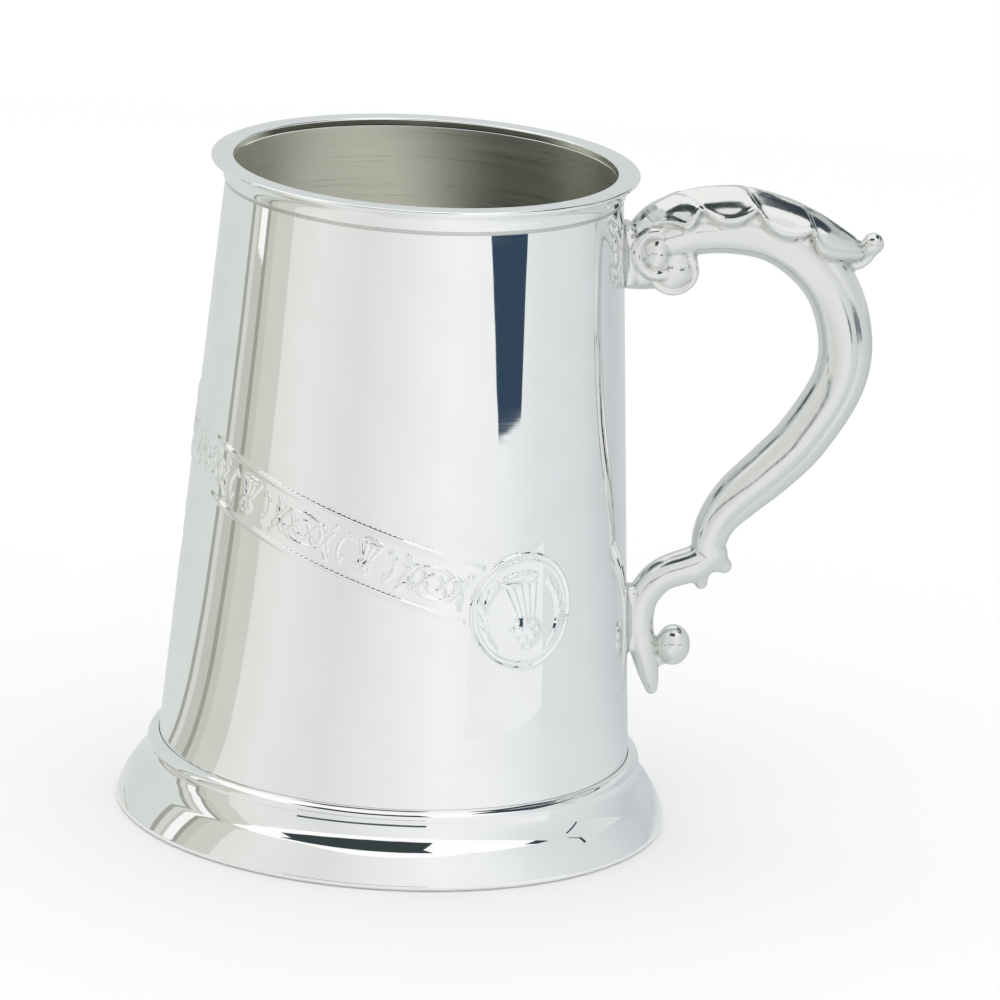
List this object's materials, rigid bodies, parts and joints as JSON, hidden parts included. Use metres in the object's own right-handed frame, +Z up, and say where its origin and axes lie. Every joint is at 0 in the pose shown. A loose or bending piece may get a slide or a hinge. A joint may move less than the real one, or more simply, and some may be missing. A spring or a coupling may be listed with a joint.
{
  "type": "pewter tankard",
  "caption": "Tapered pewter drinking tankard with a flared lip, a stepped spreading foot and a cast double-scroll handle with a leaf thumb rest.",
  "frame": {"origin": "on the drum's axis, in the plane of the table that the foot ring rests on", "axes": "+Z up along the drum's axis, +X from the axis towards the handle, +Y across the handle"},
  "size_m": [0.1431, 0.1074, 0.129],
  "materials": {
    "polished_pewter": "mirror polished pewter outside, satin turned inside",
    "cast_pewter": "polished cast pewter",
    "solder": "dressed solder"
  },
  "bodies": {
    "root": {"drum": "polished_pewter", "drum_seam_solder": "solder", "lip_ring": "polished_pewter", "lip_solder": "solder", "foot_ring": "polished_pewter", "foot_solder": "solder", "bottom_plate": "polished_pewter", "bottom_solder": "solder", "handle": "cast_pewter", "upper_handle_solder": "solder", "lower_handle_solder": "solder"}
  },
  "joints": []
}
